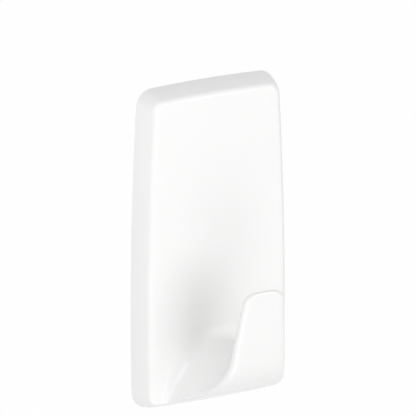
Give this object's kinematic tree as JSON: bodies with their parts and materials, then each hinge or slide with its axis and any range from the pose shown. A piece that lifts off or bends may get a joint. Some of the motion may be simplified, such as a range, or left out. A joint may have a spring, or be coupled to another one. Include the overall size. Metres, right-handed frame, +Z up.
{
  "type": "adhesive wall hook",
  "caption": "Wall hook with a moulded cover and upturned tongue that slides onto a flat base plate held to the wall by a stretch-release adhesive strip.",
  "frame": {"origin": "middle of the strip's bonded face, on the wall", "axes": "+Z up the wall, +Y into the wall, +X to the right along the wall as seen from the room; the hook stands out towards -Y"},
  "size_m": [0.03, 0.0214, 0.0579],
  "materials": {
    "cover_plastic": "smooth moulded white, soft gloss",
    "plate_plastic": "moulded white, satin",
    "strip_foam": "pale stretch foam with a tacky face",
    "tab_film": "thin non-stick film, satin"
  },
  "bodies": {
    "base": {"base_plate": "plate_plastic", "adhesive_strip": "strip_foam", "tab_film_front": "tab_film", "tab_film_back": "tab_film"},
    "cover": {"hook_cover": "cover_plastic"}
  },
  "joints": [
    {"name": "cover_slide", "type": "slide", "parent": "base", "child": "cover", "axis": [0, 0, 1], "range_m": [0, 0.056]}
  ]
}
